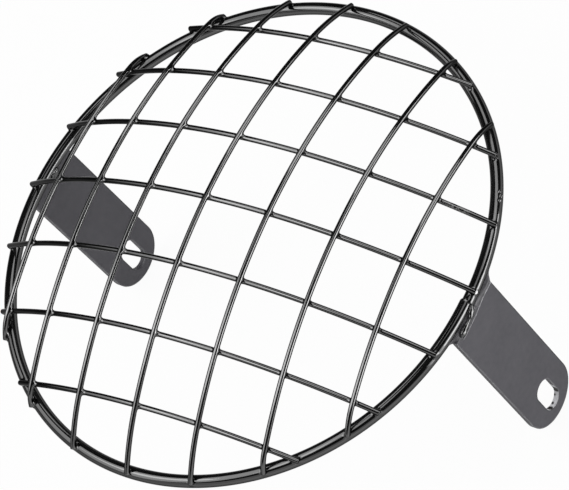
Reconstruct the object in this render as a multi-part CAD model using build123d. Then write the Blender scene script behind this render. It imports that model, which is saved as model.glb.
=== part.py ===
from build123d import *
import math
import os

# Wire-mesh grille for a round headlamp: a bar bent to a rim, two layers of domed wires that
# are spot-welded wherever they cross, and two flat side brackets with oblong bolt slots.
# +Z points forward, out through the crown of the dome, and +X towards the right-hand bracket.
# The origin is on the line through the two bolt slots, half way between the brackets.
# Lengths are in millimetres and angles in degrees.

# Rim bar
RIM_RADIUS = 95.0  # of the bar's centreline
RIM_BAR = 4.5  # diameter of the bar
RIM_SIDES = 10  # faces round the bar
RIM_LEAN = 2.0  # of the rim's axis towards +Y, as the brackets were welded on
JOINT_ANGLE = 1.3  # where the bar's two ends meet, from +X
JOINT_GAP = 0.4  # between the two ends
JOINT_STEP = 0.6  # by which the second end lies further in than the first
JOINT_CLOSING = 40.0  # the stretch of rim over which that step builds up

# Wires
WIRE = 1.8  # diameter of a wire
WIRE_SIDES = 6  # faces round a wire
WIRES_EACH_WAY = 7
MESH_MARGIN = 20.0  # from the rim's centreline in to the outermost wires
MESH_TURN = 3.8  # of the mesh against the line through the brackets
UPPER_SHIFT = 1.0  # of the upper wires from the middle of the rim, towards -X
LOWER_SHIFT = -0.4  # of the lower wires from the middle of the rim, towards +Y
DOME_RISE = 30.3  # from the rim's centreline up to the lower wires' centreline at the crown
WIRE_OVERHANG = 0.4  # of each wire's end past the middle of its seat on the rim
BEND_START = 1.3  # from an upper wire's last crossing to where it bends down to the rim

# Side brackets
STRIP_WIDTH = 25.4
STRIP_THICKNESS = 2.0
STRIP_OFFSET = 0.8  # of the strip's inner face, outward from the rim's centreline
STRIP_SET_BACK = 1.6  # of the strip's front edge behind the rim's centreline
BOLT_DROP = 70.2  # of the bolt slot's centre behind the rim's centreline
SLOT_WIDTH = 8.4
SLOT_LENGTH = 16.0

# Welds
WELD_INSET = 0.5  # of the outer weld's ends from the strip's edges
WELD_RISE = 0.5  # of the outer weld over the strip's outer face
WELD_TOE_UPPER = 2.2  # from the rim's centreline to the outer weld's toe, at its +Y end
WELD_TOE_LOWER = 6.0  # and at its -Y end
TACK_RADIUS = 1.6  # of the tack on a bracket's inside
TACK_LENGTH = 4.5
LUMP_RADIUS = 0.9  # of the run of weld over the rim's joint
LUMP_LENGTH = 9.0
LUMP_LEAN = 20.0  # of that run against the rim
LUMP_DROP = 2.4  # of its middle behind the rim's centreline
LUMP_ASIDE = 3.2  # of its middle from the strip's, towards -Y


def section_radius(diameter, sides):
    """Corner radius of a many-sided section with the area of a round one."""
    corner = 2 * math.pi / sides
    return diameter / 2 * math.sqrt(corner / math.sin(corner))


def section_flat(diameter, sides):
    """Distance from the middle of that section to its flats."""
    return section_radius(diameter, sides) * math.cos(math.pi / sides)


# The lower wires lie on a sphere that meets the front of the rim bar, and the upper wires on a
# second sphere about the same centre, one wire further out.
RIM_FLAT = section_flat(RIM_BAR, RIM_SIDES)
WIRE_FLAT = section_flat(WIRE, WIRE_SIDES)
SEAT = RIM_FLAT + WIRE_FLAT
LOWER_SPHERE = (RIM_RADIUS**2 + DOME_RISE**2 - SEAT**2) / (2 * (DOME_RISE - SEAT))
UPPER_SPHERE = LOWER_SPHERE + 2 * WIRE_FLAT
SPHERE_Z = DOME_RISE - LOWER_SPHERE
SEAT_ANGLE = math.degrees(math.atan2(-SPHERE_Z, RIM_RADIUS))
SEAT_RADIUS = RIM_RADIUS * LOWER_SPHERE / (LOWER_SPHERE - SEAT)
END_RADIUS = SEAT_RADIUS + WIRE_OVERHANG
END_Z = SPHERE_Z + math.sqrt(LOWER_SPHERE**2 - END_RADIUS**2)

# The two faces of the right-hand strip, from the middle of the rim.
STRIP_INSIDE = RIM_RADIUS + STRIP_OFFSET
STRIP_OUTSIDE = STRIP_INSIDE + STRIP_THICKNESS

# The rim and the mesh are made about the rim's own axis, then leaned and lifted into place.
RIM_PLACE = Pos(0, 0, BOLT_DROP) * Rot(X=-RIM_LEAN)
MESH_PLACE = RIM_PLACE * Rot(Z=MESH_TURN)


def on_circle(radius, angle):
    """A point at that angle from +X in the plane of the rim."""
    return Vector(radius, 0, 0).rotate(Axis.Z, angle)


def make_rim():
    """The rim bar, with one flat of its section facing the wires that lie on it."""
    half_gap = math.degrees(JOINT_GAP / 2 / RIM_RADIUS)
    start_angle = JOINT_ANGLE + half_gap
    round_size = 360 - JOINT_CLOSING - 2 * half_gap
    run = CenterArc((0, 0, 0), RIM_RADIUS, start_angle, round_size)
    end = on_circle(RIM_RADIUS - JOINT_STEP, JOINT_ANGLE - half_gap)
    closing = TangentArc(run @ 1, end, tangent=run % 1)
    turn = SEAT_ANGLE - 180 / RIM_SIDES
    section = RegularPolygon(section_radius(RIM_BAR, RIM_SIDES), RIM_SIDES, rotation=turn)
    start = Plane(run @ 0, x_dir=run @ 0, z_dir=-(run % 0))
    return RIM_PLACE * sweep(start * section, path=Wire([run, closing]))


def wire_offsets(sphere, shift):
    """Distances of one layer's wires from the middle of the rim, evenly spaced along the dome."""
    outermost = math.asin((RIM_RADIUS - MESH_MARGIN) / LOWER_SPHERE)
    steps = [2 * i / (WIRES_EACH_WAY - 1) - 1 for i in range(WIRES_EACH_WAY)]
    return [sphere * math.sin(outermost * step) + shift for step in steps]


LOWER_OFFSETS = wire_offsets(LOWER_SPHERE, LOWER_SHIFT)
UPPER_OFFSETS = wire_offsets(UPPER_SPHERE, UPPER_SHIFT)


def lower_path(offset):
    """One arc of the lower sphere, from rim to rim."""
    end = math.sqrt(END_RADIUS**2 - offset**2)
    crown = SPHERE_Z + math.sqrt(LOWER_SPHERE**2 - offset**2)
    arc = ThreePointArc((-end, offset, END_Z), (0, offset, crown), (end, offset, END_Z))
    return Wire([arc])


def upper_path(offset):
    """An arc of the upper sphere, bent down at both ends from the last crossing to the rim."""
    end = math.sqrt(END_RADIUS**2 - offset**2)
    inside = math.sqrt(RIM_RADIUS**2 - offset**2)
    crossings = [across for across in LOWER_OFFSETS if abs(across) < inside]
    ring = math.sqrt(UPPER_SPHERE**2 - offset**2)

    def on_ring(along):
        return (along, offset, SPHERE_Z + math.sqrt(ring**2 - along**2))

    first = on_ring(min(crossings) - BEND_START)
    last = on_ring(max(crossings) + BEND_START)
    arc = ThreePointArc(first, on_ring(0), last)
    near = TangentArc(first, (-end, offset, END_Z), tangent=-(arc % 0))
    far = TangentArc(last, (end, offset, END_Z), tangent=arc % 1)
    return Wire([near, arc, far])


def make_wire(path, offset, sphere):
    """A wire along that path, with two of its flats facing the middle of the sphere."""
    along = path % 0
    side = Vector(0, 1, 0)
    outward = along.cross(side)
    outward = outward * math.copysign(1, outward.Z)
    up = outward * math.sqrt(sphere**2 - offset**2) + side * offset
    start = Plane(path @ 0, x_dir=up.cross(along), z_dir=along)
    section = RegularPolygon(section_radius(WIRE, WIRE_SIDES), WIRE_SIDES)
    return sweep(start * section, path=path)


def make_lower_wire(offset):
    """A lower wire, which lies on the front of the rim."""
    return MESH_PLACE * make_wire(lower_path(offset), offset, LOWER_SPHERE)


def make_upper_wire(offset, rim):
    """An upper wire, its ends shaped to the bar that they are pressed on to."""
    wire = make_wire(upper_path(offset), offset, UPPER_SPHERE)
    return MESH_PLACE * Rot(Z=90) * wire - rim


def make_bracket(side, rim):
    """A flat strip with a round end and a bolt slot, its front edge coped to the rim bar."""
    front = BOLT_DROP - STRIP_SET_BACK
    outline = Pos(0, front / 2) * Rectangle(STRIP_WIDTH, front)
    outline += Circle(STRIP_WIDTH / 2)
    outline -= SlotOverall(SLOT_LENGTH, SLOT_WIDTH, rotation=90)
    strip = extrude(Plane.YZ * outline, STRIP_THICKNESS)
    strip = Pos(STRIP_INSIDE, 0, 0) * strip
    if side < 0:
        strip = mirror(strip, about=Plane.YZ)
    return strip - rim


def weld_section(y, toe):
    """Section of the outer weld, from the outside of the rim to its toe on the strip."""
    rim_side = math.sqrt(RIM_RADIUS**2 - y**2) + RIM_BAR / 2
    in_strip = STRIP_OUTSIDE - STRIP_THICKNESS / 2
    points = (
        (RIM_RADIUS, 0),
        (rim_side, 0),
        (STRIP_OUTSIDE + WELD_RISE, -STRIP_SET_BACK),
        (STRIP_OUTSIDE, -toe),
        (in_strip, -toe),
        (in_strip, -STRIP_SET_BACK),
    )
    plane = Plane((0, y, BOLT_DROP), x_dir=(1, 0, 0), z_dir=(0, -1, 0))
    return plane * Polygon(*points, align=None)


def make_outer_weld(side, rim, bracket):
    """The weld along the outside of the bracket's front edge."""
    reach = STRIP_WIDTH / 2 - WELD_INSET
    ends = [weld_section(reach, WELD_TOE_UPPER), weld_section(-reach, WELD_TOE_LOWER)]
    weld = loft(ends, ruled=True)
    if side < 0:
        weld = mirror(weld, about=Plane.YZ)
    return weld - rim - bracket


def make_inner_weld(side, rim):
    """The short half-round tack on the bracket's inside, up against the rim."""
    height = BOLT_DROP - STRIP_SET_BACK - TACK_RADIUS
    corner = Plane((STRIP_INSIDE, 0, height), x_dir=(0, 0, -1), z_dir=(0, 1, 0))
    flat_side_down = (Align.CENTER, Align.MIN, Align.CENTER)
    tack = corner * Cylinder(TACK_RADIUS, TACK_LENGTH, arc_size=180, align=flat_side_down)
    if side < 0:
        tack = mirror(tack, about=Plane.YZ)
    return tack - rim


def make_joint_weld(rim, bracket, outer_weld):
    """The short run of weld from the rim's joint over the right-hand outer weld."""
    place = Pos(STRIP_OUTSIDE + WELD_RISE, -LUMP_ASIDE, BOLT_DROP - LUMP_DROP)
    lump = place * Rot(X=90 + LUMP_LEAN) * Cylinder(LUMP_RADIUS, LUMP_LENGTH)
    return lump - rim - bracket - outer_weld


def make_parts():
    """Every piece of the grille, by the name of its node."""
    rim = make_rim()
    parts = {"rim": rim}
    for number, offset in enumerate(UPPER_OFFSETS, start=1):
        parts[f"upper_wire_{number}"] = make_upper_wire(offset, rim)
    for number, offset in enumerate(LOWER_OFFSETS, start=1):
        parts[f"lower_wire_{number}"] = make_lower_wire(offset)
    for name, side in (("left", -1), ("right", 1)):
        bracket = make_bracket(side, rim)
        outer_weld = make_outer_weld(side, rim, bracket)
        parts[f"{name}_bracket"] = bracket
        parts[f"{name}_outer_weld"] = outer_weld
        parts[f"{name}_inner_weld"] = make_inner_weld(side, rim)
    parts["rim_joint_weld"] = make_joint_weld(rim, parts["right_bracket"], parts["right_outer_weld"])
    return parts


os.makedirs("parts", exist_ok=True)
for node, solid in make_parts().items():
    export_step(solid, f"parts/{node}.step")
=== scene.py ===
import math

import bmesh
import bpy
from mathutils import Matrix, Vector, kdtree, noise


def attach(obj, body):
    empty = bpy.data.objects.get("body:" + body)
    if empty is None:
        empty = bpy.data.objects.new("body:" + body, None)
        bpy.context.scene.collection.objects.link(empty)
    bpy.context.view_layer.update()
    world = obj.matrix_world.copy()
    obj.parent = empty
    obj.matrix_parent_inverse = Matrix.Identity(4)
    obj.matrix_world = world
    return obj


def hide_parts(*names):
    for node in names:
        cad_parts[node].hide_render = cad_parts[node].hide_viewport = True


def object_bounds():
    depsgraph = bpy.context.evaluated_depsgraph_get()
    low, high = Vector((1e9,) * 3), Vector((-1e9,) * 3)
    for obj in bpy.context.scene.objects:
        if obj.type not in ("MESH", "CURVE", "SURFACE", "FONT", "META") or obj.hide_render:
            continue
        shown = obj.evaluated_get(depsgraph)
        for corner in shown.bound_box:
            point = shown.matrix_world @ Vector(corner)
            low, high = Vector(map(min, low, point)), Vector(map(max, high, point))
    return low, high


# Wire-mesh grille for a round headlamp. The rim, the wires and the welds are rebuilt here with
# round sections, run together at the welds, and take the place of the faceted solids.
# The two flat brackets keep their solids. Sizes are in millimetres, turned into metres by MM,
# and angles are in degrees.
MM = 0.001

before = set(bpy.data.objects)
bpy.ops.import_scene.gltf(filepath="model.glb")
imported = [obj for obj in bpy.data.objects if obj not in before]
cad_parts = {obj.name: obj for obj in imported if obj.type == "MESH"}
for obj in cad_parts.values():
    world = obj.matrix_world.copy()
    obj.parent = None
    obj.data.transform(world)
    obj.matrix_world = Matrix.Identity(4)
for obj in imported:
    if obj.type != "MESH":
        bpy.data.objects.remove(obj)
cad_low, cad_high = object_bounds()

# Rim bar
RIM_RADIUS = 95.0
RIM_BAR = 4.5
RIM_LEAN = 2.0
JOINT_ANGLE = 1.3
JOINT_GAP = 0.4
JOINT_STEP = 0.6
JOINT_CLOSING = 40.0

# Wires
WIRE = 1.8
WIRES_EACH_WAY = 7
MESH_MARGIN = 20.0
MESH_TURN = 3.8
UPPER_SHIFT = 1.0
LOWER_SHIFT = -0.4
DOME_RISE = 30.3
WIRE_OVERHANG = 0.4
BEND_START = 1.3

# How much longer each end of a wire is cut than the plain length, by the wire's number
LOWER_TRIMS = {1: (-0.5, 0), 4: (0, 0.2), 6: (1.8, -1.0), 7: (1.6, -1.5)}
UPPER_TRIMS = {
    2: (0, -1.0),
    3: (0, -2.0),
    4: (-0.3, -1.3),
    5: (0, -0.9),
    6: (1.0, 0.7),
    7: (1.7, 1.2),
}

# Side brackets and their welds
STRIP_THICKNESS = 2.0
STRIP_OFFSET = 0.8
BOLT_DROP = 70.2

# The wires' solids have six faces and the rim's ten, each with the area of the round section,
# so the wires are seated at the distance from the middle to a face.
RIM_SIDES = 10
WIRE_SIDES = 6


def flat_distance(diameter, sides):
    """Distance from the middle to a face of a many-sided section with the area of a round one."""
    corner = 2 * math.pi / sides
    return diameter / 2 * math.sqrt(corner / math.sin(corner)) * math.cos(math.pi / sides)


def corner_distance(diameter, sides):
    """Distance from the middle of that section to its corners."""
    return flat_distance(diameter, sides) / math.cos(math.pi / sides)


WIRE_FLAT = flat_distance(WIRE, WIRE_SIDES)
WIRE_ROUND = corner_distance(WIRE, WIRE_SIDES)
RIM_ROUND = corner_distance(RIM_BAR, RIM_SIDES)
SEAT = flat_distance(RIM_BAR, RIM_SIDES) + WIRE_FLAT
LOWER_SPHERE = (RIM_RADIUS**2 + DOME_RISE**2 - SEAT**2) / (2 * (DOME_RISE - SEAT))
UPPER_SPHERE = LOWER_SPHERE + 2 * WIRE_FLAT
SPHERE_Z = DOME_RISE - LOWER_SPHERE
END_RADIUS = RIM_RADIUS * LOWER_SPHERE / (LOWER_SPHERE - SEAT) + WIRE_OVERHANG
END_Z = SPHERE_Z + math.sqrt(LOWER_SPHERE**2 - END_RADIUS**2)
STRIP_INSIDE = RIM_RADIUS + STRIP_OFFSET
STRIP_OUTSIDE = STRIP_INSIDE + STRIP_THICKNESS

# From the rim's own axes, and the mesh's, to the axes of the part
RIM_TILT = Matrix.Rotation(math.radians(-RIM_LEAN), 4, "X")
RIM_PLACE = Matrix.Translation((0, 0, BOLT_DROP)) @ RIM_TILT
LOWER_PLACE = RIM_PLACE @ Matrix.Rotation(math.radians(MESH_TURN), 4, "Z")
UPPER_PLACE = LOWER_PLACE @ Matrix.Rotation(math.radians(90), 4, "Z")

# Mesh fineness
WIRE_STEP = 0.5
WIRE_POINTS = 20
RIM_STEP = 0.5
RIM_POINTS = 40


# Centre-lines

def wire_offsets(sphere, shift):
    """Distances of one layer's wires from the middle of the rim, evenly spaced along the dome."""
    outermost = math.asin((RIM_RADIUS - MESH_MARGIN) / LOWER_SPHERE)
    steps = [2 * i / (WIRES_EACH_WAY - 1) - 1 for i in range(WIRES_EACH_WAY)]
    return [sphere * math.sin(outermost * step) + shift for step in steps]


LOWER_OFFSETS = wire_offsets(LOWER_SPHERE, LOWER_SHIFT)
UPPER_OFFSETS = wire_offsets(UPPER_SPHERE, UPPER_SHIFT)


def placed(points, place):
    """Those points in the axes of the part."""
    return [place @ Vector(point) for point in points]


def lower_line(offset):
    """Centre-line of a lower wire: one arc of the lower sphere, from rim to rim."""
    end = math.sqrt(END_RADIUS**2 - offset**2)
    count = round(2 * end / WIRE_STEP)
    ring = math.sqrt(LOWER_SPHERE**2 - offset**2)
    along = [end * (2 * i / count - 1) for i in range(count + 1)]
    return placed([(x, offset, SPHERE_Z + math.sqrt(ring**2 - x**2)) for x in along], LOWER_PLACE)


def bent_end(start, slope, end):
    """Points of the arc that leaves start at that slope and reaches end, start left out."""
    direction = Vector((1, slope)).normalized() * math.copysign(1, end.x - start.x)
    chord = end - start
    normal = Vector((-direction.y, direction.x))
    radius = chord.length_squared / (2 * chord.dot(normal))
    centre = start + normal * radius
    turn = 2 * math.atan2(chord.dot(normal), chord.dot(direction))
    count = max(2, round(abs(radius * turn) / WIRE_STEP))
    turns = [turn * i / count for i in range(1, count + 1)]
    return [centre + Matrix.Rotation(angle, 2) @ (start - centre) for angle in turns]


def upper_line(offset):
    """Centre-line of an upper wire: an arc of the upper sphere, its ends bent down to the rim."""
    end = math.sqrt(END_RADIUS**2 - offset**2)
    inside = math.sqrt(RIM_RADIUS**2 - offset**2)
    crossings = [across for across in LOWER_OFFSETS if abs(across) < inside]
    ring = math.sqrt(UPPER_SPHERE**2 - offset**2)
    first = min(crossings) - BEND_START
    last = max(crossings) + BEND_START
    count = round((last - first) / WIRE_STEP)
    along = [first + (last - first) * i / count for i in range(count + 1)]
    arc = [Vector((x, SPHERE_Z + math.sqrt(ring**2 - x**2))) for x in along]

    def slope(x):
        return -x / math.sqrt(ring**2 - x**2)

    near = bent_end(arc[0], slope(first), Vector((-end, END_Z)))
    far = bent_end(arc[-1], slope(last), Vector((end, END_Z)))
    line = near[::-1] + arc + far
    sunk = WIRE_ROUND - WIRE_FLAT
    return placed([(point.x, offset, point.y - sunk) for point in line], UPPER_PLACE)


def lengthened(line, extra):
    """The line with its last end moved on by that length, or back where it is negative."""
    line = list(line)
    if extra > 0:
        step = (line[-1] - line[-2]).normalized()
        count = max(1, round(extra / WIRE_STEP))
        tip = line[-1]
        return line + [tip + step * (extra * i / count) for i in range(1, count + 1)]
    while extra < 0:
        last = line.pop()
        length = (last - line[-1]).length
        if length > -extra:
            return line + [last.lerp(line[-1], -extra / length)]
        extra += length
    return line


def trimmed(line, extras):
    """The line with both its ends cut as the wire's are."""
    for extra in extras:
        line = lengthened(line[::-1], extra)
    return line


def rim_radius(angle):
    """Radius of the rim bar's centre-line, which draws in towards the joint from below."""
    before_joint = (JOINT_ANGLE - angle) % 360
    return RIM_RADIUS - JOINT_STEP * max(0.0, 1 - before_joint / JOINT_CLOSING) ** 2


def on_rim(angle, around=0.0, height=0.0):
    """A point at that height from the rim bar's centre-line, turned up by around from outside."""
    turn, tilt = math.radians(angle), math.radians(around)
    out = rim_radius(angle) + height * math.cos(tilt)
    up = height * math.sin(tilt)
    return RIM_PLACE @ Vector((out * math.cos(turn), out * math.sin(turn), up))


def rim_line():
    """Centre-line of the rim bar, from one side of its joint to the other."""
    half_gap = math.degrees(JOINT_GAP / 2 / RIM_RADIUS)
    count = round(2 * math.pi * RIM_RADIUS / RIM_STEP)
    turn = (360 - 2 * half_gap) / count
    return [on_rim(JOINT_ANGLE + half_gap + turn * i) for i in range(count + 1)]


# Round bars that run together where they are welded

END_RINGS = 4  # that round off each end of a bar
CUT_ROUNDING = 0.25  # of the wires' cut ends
RIM_END_ROUNDING = 1.2  # of the rim bar's two ends
# Reach of a weld's fillet from the other bar's surface, and its height there
WIRE_SWELL = (1.1, 0.75)
RIM_SWELL = (0.7, 0.35)
QUAD = 4  # larger faces are flat cut ends
# The way that three of the cut wire ends face, and their radius
CUT_FACES = {
    "lower_bar_4": ((0.86, 0.01, 0.50), 0.8),
    "upper_bar_1": ((0.80, 0.12, 0.58), 0.7),
    "upper_bar_3": ((0.40, 0.20, 0.90), 0.5),
}
CUT_STANDS_OUT = 0.35


class Bars:
    """The centre-lines of all bars, for finding how near another bar is."""

    def __init__(self):
        self.lines = {}

    def add(self, name, line, radius, layer):
        self.lines[name] = (line, radius, layer)

    def others(self, name):
        """For each other layer, a search tree of its points, their tangents and its radius."""
        own_layer = self.lines[name][2]
        layers = {}
        for line, radius, layer in self.lines.values():
            if layer != own_layer:
                found = layers.setdefault(layer, (radius, [], []))
                found[1].extend(line)
                found[2].extend(axes[0] for axes in line_frames(line))
        trees = []
        for radius, points, tangents in layers.values():
            tree = kdtree.KDTree(len(points))
            for index, point in enumerate(points):
                tree.insert(point, index)
            tree.balance()
            trees.append((tree, tangents, radius))
        return trees


def gap_to(point, tree, tangents, radius):
    """Distance from a point to the surface of the nearest of those bars."""
    nearest, index, distance = tree.find(point)
    along = (point - nearest).dot(tangents[index])
    along = max(-WIRE_STEP, min(WIRE_STEP, along))
    return math.sqrt(max(0.0, distance**2 - along**2)) - radius


def line_frames(line):
    """Tangent and two cross directions at each point of a line, without twist."""
    tangents = []
    for i in range(len(line)):
        ahead = line[min(i + 1, len(line) - 1)]
        behind = line[max(i - 1, 0)]
        tangents.append((ahead - behind).normalized())
    side = tangents[0].orthogonal().normalized()
    frames = []
    for tangent in tangents:
        side = (side - tangent * side.dot(tangent)).normalized()
        frames.append((tangent, side, tangent.cross(side)))
    return frames


def round_ends(line, radius, rounding):
    """Each ring's centre and radius, with extra rings that round off the bar's two ends."""
    frames = line_frames(line)
    rings = [[point, radius, axes] for point, axes in zip(line, frames)]
    for end, sign in ((0, -1), (-1, 1)):
        point, _, axes = rings[end]
        extra = []
        for i in range(1, END_RINGS + 1):
            turn = math.pi / 2 * i / END_RINGS
            forward = axes[0] * (sign * rounding * math.sin(turn))
            extra.append([point + forward, radius - rounding * (1 - math.cos(turn)), axes])
        rings = extra[::-1] + rings if end == 0 else rings + extra
    return rings


def ring_of(centre, radius, axes, sides):
    """Points round a circle across that line."""
    _, side, up = axes
    turns = [2 * math.pi * i / sides for i in range(sides)]
    return [centre + (side * math.cos(turn) + up * math.sin(turn)) * radius for turn in turns]


def skin(bm, rows):
    """A closed surface over rows of points, each row a loop."""
    rows = [[bm.verts.new(point) for point in row] for row in rows]
    for row, following in zip(rows, rows[1:]):
        for i in range(len(row)):
            j = (i + 1) % len(row)
            bm.faces.new((row[i], row[j], following[j], following[i]))
    bm.faces.new(rows[0])
    bm.faces.new(rows[-1])


def rings_along(line, radius, sides):
    """Circles of that radius across each point of a line."""
    return [ring_of(point, radius, axes, sides) for point, axes in zip(line, line_frames(line))]


def smooth_object(name, bm):
    """A smooth-shaded object of that mesh, in metres, kept inside the box of the solids."""
    bmesh.ops.recalc_face_normals(bm, faces=bm.faces)
    for vert in bm.verts:
        limits = zip(cad_low, vert.co * MM, cad_high)
        vert.co = [max(low, min(high, value)) for low, value, high in limits]
    mesh = bpy.data.meshes.new(name)
    bm.to_mesh(mesh)
    bm.free()
    smooth = [len(face.vertices) <= QUAD for face in mesh.polygons]
    mesh.polygons.foreach_set("use_smooth", smooth)
    made = bpy.data.objects.new(name, mesh)
    bpy.context.scene.collection.objects.link(made)
    return made


def add_cut_face(bm, tip, facing, radius):
    """A flat round face that looks that way, at the tip of a wire."""
    out = Vector(facing).normalized() * CUT_STANDS_OUT
    skin(bm, rings_along([tip - out, tip + out], radius, WIRE_POINTS))


def make_bar(name, bars, sides, rounding, swell):
    """A round bar along its centre-line, swollen into a fillet where another bar is welded on."""
    line, radius, _ = bars.lines[name]
    others = bars.others(name)
    reach, height = swell
    rows = []
    for centre, ring_radius, axes in round_ends(line, radius, rounding):
        row = []
        for point in ring_of(centre, ring_radius, axes, sides):
            nearest = min(gap_to(point, *other) for other in others)
            near = min(1.0, max(0.0, 1 - nearest / reach))
            row.append(point + (point - centre).normalized() * (height * near**2))
        rows.append(row)
    bm = bmesh.new()
    skin(bm, rows)
    if name in CUT_FACES:
        add_cut_face(bm, line[-1], *CUT_FACES[name])
    return smooth_object(name, bm)


# Welds

WELD_START = -8.0  # degrees below the outside of the rim bar, where the outer weld begins
WELD_RIM_TOE = -52.0  # the same, where it ends beyond the strip
WELD_THIN = 0.25  # thickness there
WELD_CREST = 0.42  # by which it stands out from the strip
CREST_DEPTH = 1.5  # of that crest, below the middle of the rim bar
WELD_ENDS = (-13.8, 15.8)  # along the edge of the strip
WELD_LEAVES = (-10.2, 12.0)  # where it begins to leave the strip for the rim
# Depth of its toe on the strip, by the place along the strip's edge
TOE_DEPTHS = ((-13.8, 3.0), (-8.0, 3.8), (0.4, 3.5), (6.5, 2.5), (15.8, 2.5))
TOE_HIGHLIGHT_ENDS = (-9.8, 12.6)  # of the line of painted highlight along the toe
TOE_HIGHLIGHT_RADIUS = 0.26
WELD_STEP = 0.3
WELD_POINTS = 9
WELD_ROUGHNESS = 0.12
ROUGHNESS_SCALE = 0.6


def toe_depth(y):
    """Depth of the outer weld's toe below the middle of the rim bar."""
    for (start, first), (end, last) in zip(TOE_DEPTHS, TOE_DEPTHS[1:]):
        if y <= end:
            return first + (last - first) * (y - start) / (end - start)


def on_strip_share(y):
    """1 where the outer weld lies on the strip, 0 at its two ends on the rim, smooth between."""
    if y < WELD_LEAVES[0]:
        share = (y - WELD_ENDS[0]) / (WELD_LEAVES[0] - WELD_ENDS[0])
    else:
        share = (WELD_ENDS[1] - y) / (WELD_ENDS[1] - WELD_LEAVES[1])
    share = max(0.0, min(1.0, share))
    return share**2 * (3 - 2 * share)


def strip_toe(y):
    """A point of the outer weld's toe on the right-hand strip."""
    return Vector((STRIP_OUTSIDE, y, BOLT_DROP - toe_depth(y)))


def outer_weld_row(y):
    """Loop of points round the right-hand outer weld at that place along the strip's edge."""
    angle = math.degrees(math.asin(y / RIM_RADIUS))
    share = on_strip_share(y)
    middle = on_rim(angle)
    start = on_rim(angle, WELD_START, RIM_ROUND)
    crest = on_rim(angle, (WELD_START + WELD_RIM_TOE) / 2, RIM_ROUND + WELD_THIN)
    crest = crest.lerp(Vector((STRIP_OUTSIDE + WELD_CREST, y, BOLT_DROP - CREST_DEPTH)), share)
    toe = on_rim(angle, WELD_RIM_TOE, RIM_ROUND).lerp(strip_toe(y), share)
    root = middle.lerp(strip_toe(y) - Vector((STRIP_THICKNESS / 2, 0, 0)), share)
    curve = []
    for i in range(WELD_POINTS):
        t = i / (WELD_POINTS - 1)
        point = start.lerp(crest, t).lerp(crest.lerp(toe, t), t)
        swing = WELD_ROUGHNESS * math.sin(math.pi * t)
        point.x += swing * noise.noise(point * ROUGHNESS_SCALE)
        curve.append(point)
    return curve + [root, middle]


def steps(start, end, step):
    """Evenly spaced values from start to end, about a step apart."""
    count = round((end - start) / step)
    return [start + (end - start) * i / count for i in range(count + 1)]


def on_side(side, rows):
    """Those rows of points on the right-hand side, or mirrored to the left."""
    return [[Vector((side * point.x, point.y, point.z)) for point in row] for row in rows]


def make_outer_weld(name, side):
    """The weld along the outside of a bracket's front edge."""
    bm = bmesh.new()
    skin(bm, on_side(side, [outer_weld_row(y) for y in steps(*WELD_ENDS, WELD_STEP)]))
    return smooth_object(name, bm)


def make_toe_highlight_tube(name, side):
    """A pale line of painted highlight along the toe of that weld."""
    line = [strip_toe(y) for y in steps(*TOE_HIGHLIGHT_ENDS, WELD_STEP)]
    bm = bmesh.new()
    skin(bm, on_side(side, rings_along(line, TOE_HIGHLIGHT_RADIUS, WELD_POINTS)))
    return smooth_object(name, bm)


# The run of weld that goes down from the rim's joint: points of its middle, each with its radius
RUN = (
    ((97.2, 1.6, 70.9), 0.50),
    ((97.9, 0.0, 70.1), 0.95),
    ((98.2, -1.6, 69.5), 0.85),
    ((98.2, -3.2, 69.3), 0.45),
    ((98.3, -4.8, 69.3), 0.70),
    ((98.3, -6.4, 69.2), 0.95),
    ((98.3, -8.2, 68.9), 1.10),
    ((98.1, -9.6, 68.5), 0.60),
)
RUN_STEPS = 8  # from each point to the next
RUN_SIDES = 16
RUN_ROUGHNESS = 0.25
RUN_FLAT = 0.45  # share of its height that is taken off
RUN_FACES = Vector((0.88, 0.0, 0.47))
PLUG_RADIUS = 1.95  # of the weld inside the joint
PLUG_REACH = 1.4  # degrees to each side of it


def smooth_run(stations):
    """Points and radii of a smooth curve through those stations."""
    places = [Vector((*point, radius)) for point, radius in stations]
    places = [places[0]] + places + [places[-1]]
    curve = []
    for before, start, end, after in zip(places, places[1:], places[2:], places[3:]):
        for i in range(RUN_STEPS):
            t = i / RUN_STEPS
            square = before * 2 - start * 5 + end * 4 - after
            cube = start * 3 - before - end * 3 + after
            curve.append((start * 2 + (end - before) * t + square * t**2 + cube * t**3) / 2)
    return [place.to_3d() for place in curve], [place.w for place in curve]


def make_joint_weld(name):
    """The weld in the rim's joint, and the uneven run of it over the right-hand outer weld."""
    bm = bmesh.new()
    line, radii = smooth_run(RUN)
    rows = []
    for point, radius, axes in zip(line, radii, line_frames(line)):
        row = ring_of(point, radius, axes, RUN_SIDES)
        row = [p - RUN_FACES * (RUN_FLAT * (p - point).dot(RUN_FACES)) for p in row]
        rows.append([p + (p - point) * RUN_ROUGHNESS * noise.noise(p) for p in row])
    skin(bm, rows)
    plug = [on_rim(JOINT_ANGLE + turn) for turn in (-PLUG_REACH, 0, PLUG_REACH)]
    skin(bm, rings_along(plug, PLUG_RADIUS, RIM_POINTS))
    return smooth_object(name, bm)


LUMP_DETAIL = 4
LUMP_ROUGHNESS = 0.3


def add_lump(bm, middle, turn, sizes):
    """An uneven rounded lump, turned about the upright axis, with half its sizes given."""
    place = Matrix.Translation(middle) @ Matrix.Rotation(math.radians(turn), 4, "Z")
    made = bmesh.ops.create_icosphere(
        bm, subdivisions=LUMP_DETAIL, radius=1, matrix=place @ Matrix.Diagonal((*sizes, 1))
    )
    for vert in made["verts"]:
        vert.co += (vert.co - middle) * LUMP_ROUGHNESS * noise.noise(vert.co)


# Lumps of the tack on the inside of each bracket: middle and half sizes
STRIP_LUMP = (Vector((STRIP_INSIDE, 0.0, 66.3)), (1.1, 2.7, 1.3))
RIM_LUMP = (Vector((93.0, 1.2, 69.3)), (1.6, 2.3, 1.6))
TACKS = {"left": (STRIP_LUMP, RIM_LUMP), "right": (STRIP_LUMP,)}


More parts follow.
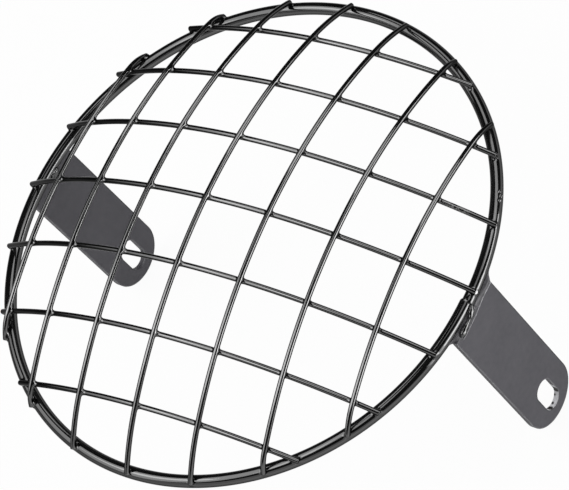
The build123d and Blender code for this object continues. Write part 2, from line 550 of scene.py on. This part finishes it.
def make_tack(name, side, lumps):
    """The short tack on the inside of a bracket, up against the rim."""
    bm = bmesh.new()
    for middle, sizes in lumps:
        add_lump(bm, Vector((side * middle.x, middle.y, middle.z)), 0, sizes)
    return smooth_object(name, bm)


# Spatter on the rim: angle along it, angle up from its outside, and half sizes
SPATTER = (
    (26.9, 46, (0.7, 0.9, 0.7)),
    (25.9, 32, (0.8, 1.0, 0.8)),
    (24.8, 44, (0.8, 1.0, 0.8)),
)


def make_spatter(name):
    """The small lumps under the paint on the right of the rim."""
    bm = bmesh.new()
    for angle, around, sizes in SPATTER:
        add_lump(bm, on_rim(angle, around, RIM_ROUND), angle, sizes)
    return smooth_object(name, bm)


# Materials

class Nodes:
    """A material's node tree, with short ways to add and join nodes."""

    def __init__(self, name):
        self.material = bpy.data.materials.new(name)
        self.material.use_nodes = True
        self.tree = self.material.node_tree
        self.shader = self.tree.nodes["Principled BSDF"]
        self.position = self.add("ShaderNodeNewGeometry").outputs["Position"]

    def add(self, kind, **settings):
        node = self.tree.nodes.new(kind)
        for key, value in settings.items():
            setattr(node, key, value)
        return node

    def join(self, start, end):
        self.tree.links.new(start, end)

    def noise(self, per_metre, detail=3.0):
        node = self.add("ShaderNodeTexNoise")
        node.inputs["Scale"].default_value = per_metre
        node.inputs["Detail"].default_value = detail
        self.join(self.position, node.inputs["Vector"])
        return node.outputs["Fac"]

    def ramp(self, value, low, high, start=0.3, end=0.7):
        """A colour that goes from low to high as the value goes from start to end."""
        node = self.add("ShaderNodeValToRGB")
        points = node.color_ramp.elements
        points[0].position, points[0].color = start, low
        points[1].position, points[1].color = end, high
        self.join(value, node.inputs["Fac"])
        return node.outputs["Color"]

    def math(self, operation, first, second):
        node = self.add("ShaderNodeMath", operation=operation)
        for socket, value in zip(node.inputs, (first, second)):
            if isinstance(value, float):
                socket.default_value = value
            else:
                self.join(value, socket)
        return node.outputs["Value"]

    def mix(self, share, low, high):
        """The colour low, or high where the share is 1."""
        node = self.add("ShaderNodeMix", data_type="RGBA")
        self.join(share, node.inputs["Factor"])
        for socket, colour in ((node.inputs["A"], low), (node.inputs["B"], high)):
            if isinstance(colour, tuple):
                socket.default_value = colour
            else:
                self.join(colour, socket)
        return node.outputs["Result"]

    def near(self, place, reach, full=0.0):
        """1 within that full distance of a place, falling to 0 at that reach, in millimetres."""
        node = self.add("ShaderNodeVectorMath", operation="DISTANCE")
        self.join(self.position, node.inputs[0])
        node.inputs[1].default_value = [value * MM for value in place]
        fall = self.add("ShaderNodeMapRange")
        limits = {"From Min": full * MM, "From Max": reach * MM, "To Min": 1.0, "To Max": 0.0}
        for socket, value in limits.items():
            fall.inputs[socket].default_value = value
        self.join(node.outputs["Value"], fall.inputs["Value"])
        return fall.outputs["Result"]

    def bump(self, height, strength, distance):
        node = self.add("ShaderNodeBump")
        node.inputs["Strength"].default_value = strength
        node.inputs["Distance"].default_value = distance
        self.join(height, node.inputs["Height"])
        self.join(node.outputs["Normal"], self.shader.inputs["Normal"])


def grey(level, tint=1.0):
    return (level, level, level * tint, 1.0)


PAINTED_WALL_HIGHLIGHT_SPOT = (96.8, 0.0, -3.8)  # the foot of the right-hand slot, where its wall carries a pale painted highlight
PAINTED_WALL_HIGHLIGHT_REACH = (5.2, 4.6)
# Spots of painted shade on that wall, each with its reach and how much of that is fully dark
PAINTED_WALL_SHADE_SPOTS = (
    ((96.8, 4.1, -4.4), (1.8, 1.2)),
    ((96.8, -2.6, -7.1), (1.4, 0.9)),
    ((96.1, 2.8, -6.9), (0.6, 0.3)),
    ((96.3, -0.2, -8.0), (0.7, 0.3)),
)
WORN_SPOT = (77.0, 33.4, 75.4)  # on a lower wire, where the paint is scuffed
WORN_REACH = 8.0

# Paint: levels are linear, and the scales of noise are per metre
BLACK_LEVELS = (grey(0.002), grey(0.005, 1.05))
BLACK_SCALE = 90.0
BLACK_ROUGHNESS = (grey(0.04), grey(0.09))
BLACK_SHEEN_SCALE = 260.0
BLACK_GLOSS = (grey(0.75), grey(0.02))  # facing the eye, and at the edges
ORANGE_PEEL_SCALE = 450.0
SCUFF_SCALE = 1100.0
SCUFF_SPREAD = (0.46, 0.56)
SCUFF_LEVEL = grey(0.5)
SCUFF_ROUGHNESS = grey(0.5)
SATIN_SCALE = 60.0
SATIN_ROUGHNESS = (grey(0.50), grey(0.62))
SATIN_SPECULAR = 0.3
SATIN_GRAIN_SCALE = 2500.0
WELD_SCALE = 500.0
WELD_SHEEN = (grey(0.35), grey(0.55))
WELD_GRAIN_SCALE = 1500.0
SHEEN_SCALE = 400.0
PAINTED_EDGE_LIGHT_WIDTH = 1.0  # of the painted highlight and painted shade along the brackets' edges
PAINTED_EDGE_LIGHT_FALL = (0.90, 0.985)  # cosine of the edge's tilt, where that painted light and shade is full and where it ends
PAINTED_EDGE_LIGHT_SIDES = (0.0, 0.15)  # how far an edge faces away, from near ones, with a painted highlight, to far ones, with painted shade
# Patchiness of that painted light and shade on the edges
PAINTED_EDGE_LIGHT_PATCHES = (grey(0.5), grey(1.0))
PAINTED_EDGE_LIGHT_PATCH_SCALE = 300.0
EDGE_SAMPLES = 6
WALL_FALL = (0.45, 0.55)  # how far a face looks sideways, from the walls of holes to the flats
PAINTED_WALL_SHADE_LEVEL = grey(0.01)


def black_paint(name, index, fade):
    """Gloss black paint: a little orange peel under a sharp gloss that fades towards the edges."""
    nodes = Nodes(name)
    cloud = nodes.ramp(nodes.noise(BLACK_SCALE), *BLACK_LEVELS)
    scuff = nodes.ramp(nodes.noise(SCUFF_SCALE), grey(0.0), grey(1.0), *SCUFF_SPREAD)
    scuff_and_wall_light_share = nodes.math("MULTIPLY", nodes.near(WORN_SPOT, WORN_REACH), scuff)
    nodes.join(nodes.mix(scuff_and_wall_light_share, cloud, SCUFF_LEVEL), nodes.shader.inputs["Base Color"])
    sheen = nodes.ramp(nodes.noise(BLACK_SHEEN_SCALE), *BLACK_ROUGHNESS)
    nodes.join(nodes.mix(scuff_and_wall_light_share, sheen, SCUFF_ROUGHNESS), nodes.shader.inputs["Roughness"])
    facing = nodes.add("ShaderNodeLayerWeight").outputs["Facing"]
    gloss = nodes.ramp(facing, *BLACK_GLOSS, *fade)
    nodes.join(gloss, nodes.shader.inputs["Specular IOR Level"])
    nodes.shader.inputs["IOR"].default_value = index
    nodes.bump(nodes.noise(ORANGE_PEEL_SCALE, 2.0), strength=0.05, distance=0.0002)
    return nodes.material


def grey_paint(name, dark, light, edges, wall_highlight_colour):
    """Satin grey paint, faintly mottled: a painted highlight on near edges and painted shade on
    far ones, and a pale painted highlight with spots of painted shade on a slot's wall.
    """
    nodes = Nodes(name)
    face = nodes.ramp(nodes.noise(SATIN_SCALE, 5.0), dark, light)
    geometry = nodes.add("ShaderNodeNewGeometry")
    bevel = nodes.add("ShaderNodeBevel", samples=EDGE_SAMPLES)
    bevel.inputs["Radius"].default_value = PAINTED_EDGE_LIGHT_WIDTH * MM
    flat = nodes.add("ShaderNodeVectorMath", operation="DOT_PRODUCT")
    nodes.join(bevel.outputs["Normal"], flat.inputs[0])
    nodes.join(geometry.outputs["True Normal"], flat.inputs[1])
    # Mask of the brackets' edges, where the painted light and shade go
    painted_edge_light_mask = nodes.ramp(flat.outputs["Value"], grey(1.0), grey(0.0), *PAINTED_EDGE_LIGHT_FALL)
    edge_light_patches = nodes.ramp(nodes.noise(PAINTED_EDGE_LIGHT_PATCH_SCALE), *PAINTED_EDGE_LIGHT_PATCHES)
    patchy_edge_light = nodes.math("MULTIPLY", painted_edge_light_mask, edge_light_patches)
    along = nodes.add("ShaderNodeSeparateXYZ")
    nodes.join(bevel.outputs["Normal"], along.inputs[0])
    # A painted highlight on near edges, which face -Y, and painted shade on far ones
    edge = nodes.ramp(along.outputs["Y"], *edges, *PAINTED_EDGE_LIGHT_SIDES)
    across = nodes.add("ShaderNodeSeparateXYZ")
    nodes.join(geometry.outputs["True Normal"], across.inputs[0])
    sideways = nodes.math("ABSOLUTE", across.outputs["X"], 0.0)
    on_wall = nodes.ramp(sideways, grey(1.0), grey(0.0), *WALL_FALL)
    # A pale painted highlight on the slot's wall near its foot
    scuff_and_wall_light_share = nodes.math("MULTIPLY", on_wall, nodes.near(PAINTED_WALL_HIGHLIGHT_SPOT, *PAINTED_WALL_HIGHLIGHT_REACH))
    colour = nodes.mix(scuff_and_wall_light_share, nodes.mix(patchy_edge_light, face, edge), wall_highlight_colour)
    # Painted shade in dark spots on the slot's wall
    for place, reach in PAINTED_WALL_SHADE_SPOTS:
        wall_shade_share = nodes.math("MULTIPLY", on_wall, nodes.near(place, *reach))
        colour = nodes.mix(wall_shade_share, colour, PAINTED_WALL_SHADE_LEVEL)
    nodes.join(colour, nodes.shader.inputs["Base Color"])
    sheen = nodes.ramp(nodes.noise(SHEEN_SCALE), *SATIN_ROUGHNESS)
    nodes.join(sheen, nodes.shader.inputs["Roughness"])
    nodes.shader.inputs["Specular IOR Level"].default_value = SATIN_SPECULAR
    nodes.bump(nodes.noise(SATIN_GRAIN_SCALE), strength=0.15, distance=0.0001)
    return nodes.material


def weld_paint(name, dark, light):
    """The same satin grey on the welds, more uneven."""
    nodes = Nodes(name)
    face = nodes.ramp(nodes.noise(WELD_SCALE, 4.0), dark, light)
    nodes.join(face, nodes.shader.inputs["Base Color"])
    sheen = nodes.ramp(nodes.noise(SHEEN_SCALE), *WELD_SHEEN)
    nodes.join(sheen, nodes.shader.inputs["Roughness"])
    nodes.bump(nodes.noise(WELD_GRAIN_SCALE), strength=0.3, distance=0.0002)
    return nodes.material


rim_black = black_paint("black_gloss_rim", index=1.75, fade=(0.17, 0.55))
wire_black = black_paint("black_gloss_wire", index=2.0, fade=(0.13, 0.38))
satin = grey_paint(
    "grey_satin",
    dark=(0.062, 0.060, 0.069, 1),
    light=(0.074, 0.072, 0.082, 1),
    # edges: a painted highlight on near edges and painted shade on far ones
    edges=(grey(0.20, 1.05), grey(0.01)),
    # a pale painted highlight on the slot's wall
    wall_highlight_colour=grey(0.62, 1.04),
)
weld_grey = weld_paint("grey_weld", (0.040, 0.039, 0.044, 1), (0.080, 0.078, 0.086, 1))
# Pale grey that paints the highlight along the welds' toes
toe_highlight_grey = weld_paint("painted_toe_highlight", grey(0.20, 1.05), grey(0.46, 1.05))


def dress(piece, material):
    piece.data.materials.clear()
    piece.data.materials.append(material)


def add_piece(piece, material, replaced=None):
    dress(piece, material)
    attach(piece, "root")
    if replaced:
        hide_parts(replaced)


# Build

bars = Bars()
bars.add("rim_bar", rim_line(), RIM_ROUND, "rim")
for number, offset in enumerate(LOWER_OFFSETS, start=1):
    line = trimmed(lower_line(offset), LOWER_TRIMS.get(number, (0, 0)))
    bars.add(f"lower_bar_{number}", line, WIRE_ROUND, "lower")
for number, offset in enumerate(UPPER_OFFSETS, start=1):
    line = trimmed(upper_line(offset), UPPER_TRIMS.get(number, (0, 0)))
    bars.add(f"upper_bar_{number}", line, WIRE_ROUND, "upper")

for name in bars.lines:
    if name == "rim_bar":
        bar = make_bar(name, bars, RIM_POINTS, RIM_END_ROUNDING, RIM_SWELL)
        add_piece(bar, rim_black, "rim")
    else:
        bar = make_bar(name, bars, WIRE_POINTS, CUT_ROUNDING, WIRE_SWELL)
        add_piece(bar, wire_black, name.replace("bar", "wire"))

add_piece(make_joint_weld("joint_run"), rim_black, "rim_joint_weld")
add_piece(make_spatter("rim_spatter"), rim_black)
for name, side in (("left", -1), ("right", 1)):
    bead = make_outer_weld(f"{name}_bead", side)
    add_piece(bead, weld_grey, f"{name}_outer_weld")
    # A thin pale tube that paints the highlight along the weld's toe
    add_piece(make_toe_highlight_tube(f"{name}_bead_painted_toe_light", side), toe_highlight_grey)
    tack = make_tack(f"{name}_tack", side, TACKS[name])
    add_piece(tack, rim_black, f"{name}_inner_weld")
    dress(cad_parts[f"{name}_bracket"], satin)


# Floor, light and camera

FLOOR_Z = cad_low.z
FLOOR_SIZE = 12.0
FLOOR_LEVEL = 0.9
FLOOR_ROUGHNESS = 0.9
FLOOR_GLOW = 0.95  # share of plain white in what the camera and mirrors see of it


def make_floor():
    """A white floor under the bracket tips, which keeps a soft shadow."""
    bpy.ops.mesh.primitive_plane_add(size=FLOOR_SIZE, location=(0, 0, FLOOR_Z))
    floor = bpy.context.object
    floor.name = "floor"
    nodes = Nodes("white_floor")
    nodes.shader.inputs["Base Color"].default_value = grey(FLOOR_LEVEL)
    nodes.shader.inputs["Roughness"].default_value = FLOOR_ROUGHNESS
    glow = nodes.add("ShaderNodeEmission")
    path = nodes.add("ShaderNodeLightPath").outputs
    seen = nodes.math("MAXIMUM", path["Is Camera Ray"], path["Is Glossy Ray"])
    seen = nodes.math("MAXIMUM", seen, path["Is Transmission Ray"])
    mix = nodes.add("ShaderNodeMixShader")
    nodes.join(nodes.math("MULTIPLY", seen, FLOOR_GLOW), mix.inputs["Fac"])
    nodes.join(nodes.shader.outputs["BSDF"], mix.inputs[1])
    nodes.join(glow.outputs["Emission"], mix.inputs[2])
    output = nodes.tree.nodes["Material Output"]
    nodes.join(mix.outputs["Shader"], output.inputs["Surface"])
    floor.data.materials.append(nodes.material)


def direction(azimuth, elevation):
    """A unit vector at that elevation, with the azimuth taken from +Y towards +X, in degrees."""
    turn, lift = math.radians(azimuth), math.radians(elevation)
    out = math.cos(lift)
    return Vector((out * math.sin(turn), out * math.cos(turn), math.sin(lift)))


# Lamps: direction, distance in metres, spread across and up in degrees, and radiance
LAMPS = (
    ("overhead_softbox", -124, 54, 0.90, (58, 60), 1.9),
    ("overhead_core", -121, 56, 0.85, (20, 18), 2.4),
    ("right_softbox", 82, 3, 0.36, (32, 30), 1.9),
    ("right_core", 66, 4, 0.80, (46, 15), 4.8),
    ("far_softbox", 0, 50, 0.75, (64, 20), 1.8),
    ("far_right_strip", 38, 60, 1.3, (30, 18), 1.0),
    ("near_softbox", 160, 78, 1.4, (30, 24), 1.7),
)


def make_softbox(name, azimuth, elevation, distance, spread, radiance):
    """A lamp facing the middle of the grille, with its direction and spread seen from there."""
    middle = Vector((0, 0, BOLT_DROP * MM))
    lamp = bpy.data.lights.new(name, "AREA")
    lamp.shape = "RECTANGLE"
    halves = [math.tan(math.radians(angle / 2)) for angle in spread]
    lamp.size, lamp.size_y = [2 * distance * half for half in halves]
    lamp.energy = radiance * math.pi * lamp.size * lamp.size_y
    made = bpy.data.objects.new(name, lamp)
    outward = direction(azimuth, elevation)
    made.location = middle + outward * distance
    made.rotation_euler = outward.to_track_quat("Z", "Y").to_euler()
    made.visible_camera = False
    bpy.context.scene.collection.objects.link(made)


ROOM = 0.02  # radiance of the dim room above the white backdrop
BACKDROP_TILT = 27.0  # by which the backdrop's edge rises on the near side, in degrees
BACKDROP_FADE = 0.15  # over which it goes from white to the dim room
BACKDROP_SHEEN = 0.6  # of its white that shows in reflections


def make_world():
    """White to the camera. Reflections show the same white low down, and a dim room above it."""
    world = bpy.data.worlds.new("studio")
    world.use_nodes = True
    bpy.context.scene.world = world
    tree = world.node_tree
    background = tree.nodes["Background"]
    path = tree.nodes.new("ShaderNodeLightPath")
    place = tree.nodes.new("ShaderNodeTexCoord")
    height = tree.nodes.new("ShaderNodeVectorMath")
    height.operation = "DOT_PRODUCT"
    tilt = math.radians(BACKDROP_TILT)
    height.inputs[1].default_value = (0, math.sin(tilt), math.cos(tilt))
    tree.links.new(place.outputs["Generated"], height.inputs[0])
    low = tree.nodes.new("ShaderNodeMapRange")
    low.inputs["From Min"].default_value = BACKDROP_FADE
    low.inputs["From Max"].default_value = 0.0
    low.inputs["To Max"].default_value = BACKDROP_SHEEN
    tree.links.new(height.outputs["Value"], low.inputs["Value"])
    mirrored = tree.nodes.new("ShaderNodeMath")
    mirrored.operation = "MAXIMUM"
    tree.links.new(path.outputs["Is Glossy Ray"], mirrored.inputs[0])
    tree.links.new(path.outputs["Is Transmission Ray"], mirrored.inputs[1])
    backdrop = tree.nodes.new("ShaderNodeMath")
    backdrop.operation = "MULTIPLY"
    tree.links.new(mirrored.outputs[0], backdrop.inputs[0])
    tree.links.new(low.outputs["Result"], backdrop.inputs[1])
    white = tree.nodes.new("ShaderNodeMath")
    white.operation = "MAXIMUM"
    tree.links.new(path.outputs["Is Camera Ray"], white.inputs[0])
    tree.links.new(backdrop.outputs[0], white.inputs[1])
    mix = tree.nodes.new("ShaderNodeMix")
    mix.data_type = "RGBA"
    mix.inputs["A"].default_value = grey(ROOM)
    mix.inputs["B"].default_value = grey(1.0)
    tree.links.new(white.outputs[0], mix.inputs["Factor"])
    tree.links.new(mix.outputs["Result"], background.inputs["Color"])


CAMERA_LENS = 230.453  # focal length and sensor in millimetres
CAMERA_SENSOR = 36.0
CAMERA_PLACE = (0.74287, -0.30064, 1.08552)  # metres
CAMERA_TURN = (29.0469, 25.3259, 29.8188)  # degrees about X, Y and Z


def make_camera():
    """The camera at the photograph's viewing angle."""
    camera = bpy.data.cameras.new("camera")
    camera.lens = CAMERA_LENS
    camera.sensor_width = CAMERA_SENSOR
    camera.sensor_fit = "HORIZONTAL"
    made = bpy.data.objects.new("camera", camera)
    made.location = CAMERA_PLACE
    made.rotation_euler = [math.radians(angle) for angle in CAMERA_TURN]
    bpy.context.scene.collection.objects.link(made)
    bpy.context.scene.camera = made


make_floor()
for lamp in LAMPS:
    make_softbox(*lamp)
make_world()
make_camera()
bpy.context.scene.view_settings.view_transform = "Standard"
